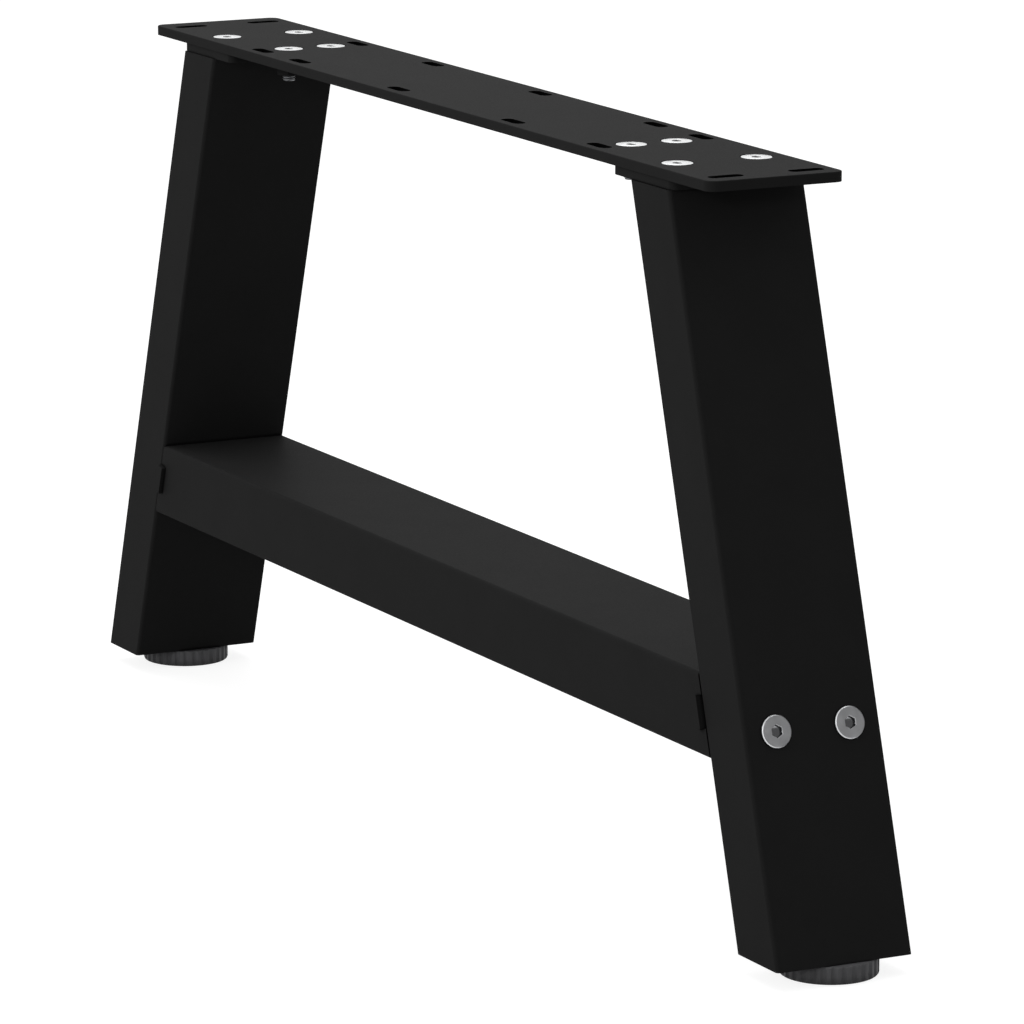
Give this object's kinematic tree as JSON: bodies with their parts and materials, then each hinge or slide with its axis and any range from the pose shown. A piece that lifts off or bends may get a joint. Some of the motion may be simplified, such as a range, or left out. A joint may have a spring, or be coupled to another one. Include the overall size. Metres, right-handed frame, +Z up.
{
  "type": "trestle table leg",
  "caption": "Steel trestle leg for a table or bench: flat slotted top plate on two leaning rectangular tubes, low bolted crossbar, ribbed levelling feet.",
  "frame": {"origin": "on the floor, at the middle of the footprint", "axes": "+X along the top plate towards its right end, +Y across the plate to the back, +Z up"},
  "size_m": [0.8468, 0.0854, 0.405],
  "materials": {
    "powder_coat": "matte fine-texture black powder coat",
    "zinc_screw": "bright zinc plate",
    "zinc_bolt": "satin zinc plate",
    "foot_plastic": "moulded dark grey plastic"
  },
  "bodies": {
    "frame": {"top_plate": "powder_coat", "crossbar_tube": "powder_coat", "cap_plate_right": "powder_coat", "leg_tube_right": "powder_coat", "foot_plate_right": "powder_coat", "crossbar_end_plate_right": "powder_coat", "plate_screw_right_outer_front": "zinc_screw", "plate_nut_right_outer_front": "powder_coat", "plate_screw_right_inner_front": "zinc_screw", "plate_nut_right_inner_front": "powder_coat", "crossbar_bolt_right_front": "zinc_bolt", "plate_screw_right_outer_back": "zinc_screw", "plate_nut_right_outer_back": "powder_coat", "plate_screw_right_inner_back": "zinc_screw", "plate_nut_right_inner_back": "powder_coat", "crossbar_bolt_right_back": "zinc_bolt", "cap_plate_left": "powder_coat", "leg_tube_left": "powder_coat", "foot_plate_left": "powder_coat", "crossbar_end_plate_left": "powder_coat", "plate_screw_left_outer_front": "zinc_screw", "plate_nut_left_outer_front": "powder_coat", "plate_screw_left_inner_front": "zinc_screw", "plate_nut_left_inner_front": "powder_coat", "crossbar_bolt_left_front": "zinc_bolt", "plate_screw_left_outer_back": "zinc_screw", "plate_nut_left_outer_back": "powder_coat", "plate_screw_left_inner_back": "zinc_screw", "plate_nut_left_inner_back": "powder_coat", "crossbar_bolt_left_back": "zinc_bolt"},
    "foot_right": {"foot_pad_right": "foot_plastic", "foot_stud_right": "zinc_bolt"},
    "foot_left": {"foot_pad_left": "foot_plastic", "foot_stud_left": "zinc_bolt"}
  },
  "joints": [
    {"name": "foot_right_level", "type": "slide", "parent": "frame", "child": "foot_right", "axis": [0, 0, -1], "range_m": [0, 0.01]},
    {"name": "foot_left_level", "type": "slide", "parent": "frame", "child": "foot_left", "axis": [0, 0, -1], "range_m": [0, 0.01]}
  ]
}
